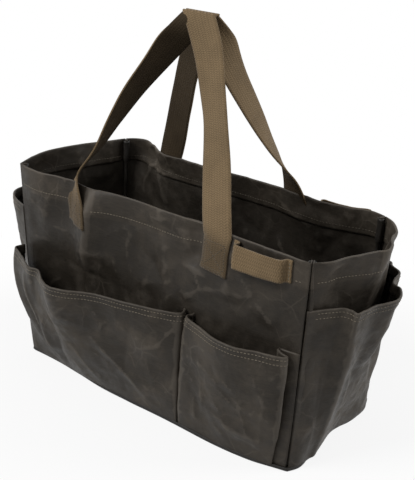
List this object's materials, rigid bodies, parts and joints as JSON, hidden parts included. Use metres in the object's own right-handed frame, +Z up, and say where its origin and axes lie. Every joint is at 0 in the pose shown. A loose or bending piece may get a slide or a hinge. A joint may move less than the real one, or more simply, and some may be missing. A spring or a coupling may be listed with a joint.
{
  "type": "garden tool bag",
  "caption": "Open-topped waxed canvas garden tool bag with bellows pockets on all four sides, webbing tool loops and two folded webbing handles.",
  "frame": {"origin": "middle of the base, on the surface that the bag stands on", "axes": "+X along the bag's length towards the end with the small pockets and tool loops, +Y from front to back, +Z up"},
  "size_m": [0.4944, 0.2824, 0.4356],
  "materials": {
    "canvas": "waxed, soft sheen",
    "webbing": "woven cotton, matte",
    "seam_tape": "matte",
    "thread": "matte"
  },
  "bodies": {
    "bag": {"back_handle_left_end": "webbing", "back_handle_right_end": "webbing", "back_handle_stitching": "thread", "back_panel": "canvas", "back_pocket": "canvas", "back_pocket_stitching": "thread", "back_tool_loop": "webbing", "back_tool_loop_stitching": "thread", "bottom_panel": "canvas", "bottom_seam_tape": "seam_tape", "corner_tape_back_left": "seam_tape", "corner_tape_back_right": "seam_tape", "corner_tape_front_left": "seam_tape", "corner_tape_front_right": "seam_tape", "front_handle_left_end": "webbing", "front_handle_right_end": "webbing", "front_handle_stitching": "thread", "front_panel": "canvas", "front_pocket": "canvas", "front_pocket_stitching": "thread", "front_tool_loop": "webbing", "front_tool_loop_stitching": "thread", "left_end_panel": "canvas", "left_end_pocket": "canvas", "left_end_pocket_stitching": "thread", "right_end_panel": "canvas", "right_end_pocket": "canvas", "right_end_pocket_stitching": "thread", "rim_stitching": "thread"},
    "front_handle": {"front_handle": "webbing"},
    "back_handle": {"back_handle": "webbing"}
  },
  "joints": [
    {"name": "front_handle_hinge", "type": "hinge", "parent": "bag", "child": "front_handle", "pos_m": [-0.008, -0.0781, 0.2412], "axis": [1, 0, 0], "range_deg": [0, 165]},
    {"name": "back_handle_hinge", "type": "hinge", "parent": "bag", "child": "back_handle", "pos_m": [-0.008, 0.0781, 0.2412], "axis": [-1, 0, 0], "range_deg": [0, 165]}
  ]
}
